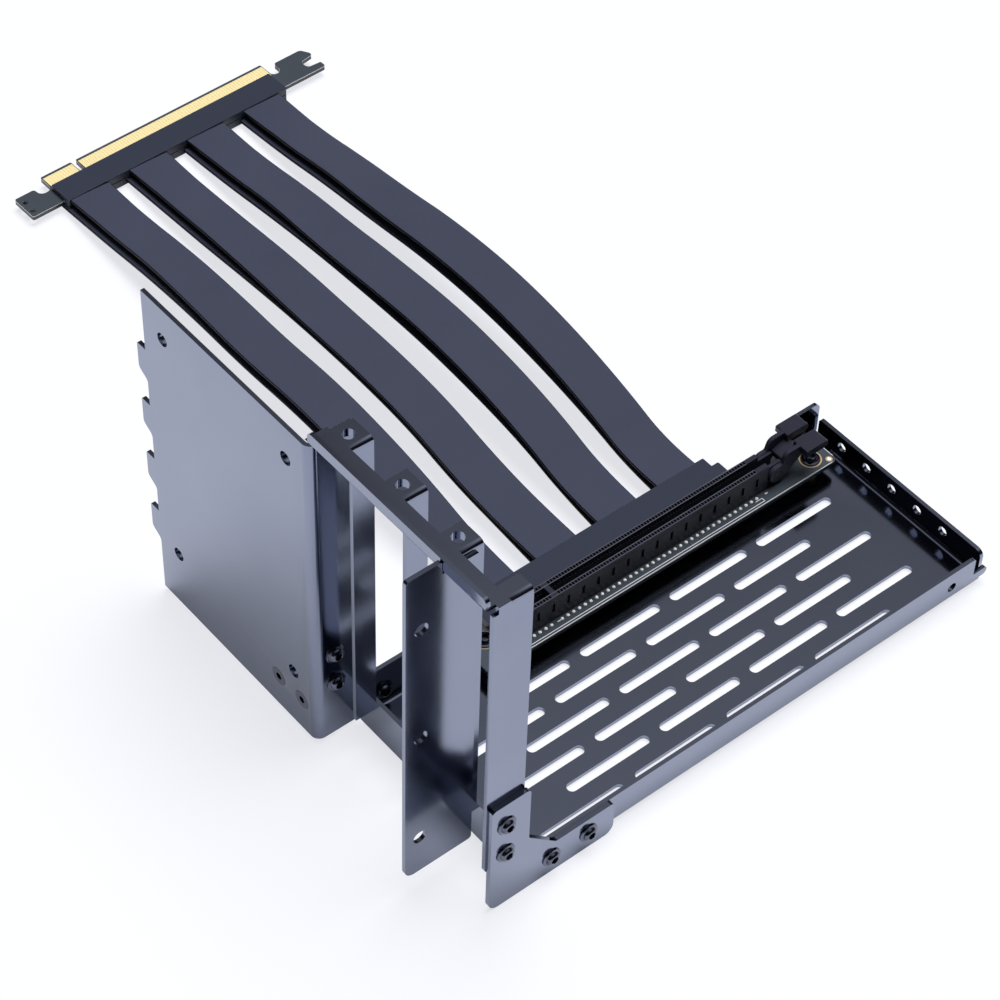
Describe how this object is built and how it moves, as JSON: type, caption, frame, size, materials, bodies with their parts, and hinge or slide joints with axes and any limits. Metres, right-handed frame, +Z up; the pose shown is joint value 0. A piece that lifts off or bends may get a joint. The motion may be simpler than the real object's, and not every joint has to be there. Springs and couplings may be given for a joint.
{
  "type": "vertical graphics card mount",
  "caption": "Black folded steel bracket that holds a graphics card upright: slotted tray, expansion slot frame with rear cover, and a riser board on flat ribbon cables",
  "frame": {"origin": "middle of the tray's underside", "axes": "+X along the tray away from the expansion slots, +Y toward the ribbon cables, +Z up"},
  "size_m": [0.1878, 0.2954, 0.117],
  "materials": {
    "black_steel": "smooth semi-gloss black powder coat",
    "screw_steel": "black oxide, semi-gloss",
    "board": "black solder mask on glass fibre",
    "standoff": "turned brass",
    "solder": "bright solder",
    "slot_plastic": "moulded black plastic",
    "overmould": "matte dark blue-grey moulding",
    "ribbon": "matte dark blue-grey cable jacket",
    "gold": "plated contact fingers"
  },
  "bodies": {
    "mount": {"tray": "black_steel", "slot_frame": "black_steel", "rear_cover": "black_steel", "flange_plate": "black_steel", "front_gusset": "black_steel", "rear_gusset": "black_steel", "front_gusset_screws": "screw_steel", "rear_gusset_screws": "screw_steel", "cover_screws": "screw_steel", "riser_board": "board", "board_standoffs": "standoff", "board_screws": "screw_steel", "slot_pins": "solder", "slot_housing": "slot_plastic", "riser_cover_top": "overmould", "riser_cover_bottom": "overmould", "edge_board": "board", "edge_fingers": "gold", "edge_cover_top": "overmould", "edge_cover_bottom": "overmould", "ribbon_1_upper": "ribbon", "ribbon_1_lower": "ribbon", "ribbon_2_upper": "ribbon", "ribbon_2_lower": "ribbon", "ribbon_3_upper": "ribbon", "ribbon_3_lower": "ribbon", "ribbon_4_upper": "ribbon", "ribbon_4_lower": "ribbon"},
    "slot_latch": {"slot_latch": "slot_plastic"}
  },
  "joints": [
    {"name": "latch_press", "type": "hinge", "parent": "mount", "child": "slot_latch", "pos_m": [0.05605, 0.0263, 0.0112], "axis": [0, 1, 0], "range_deg": [0, 15]}
  ]
}
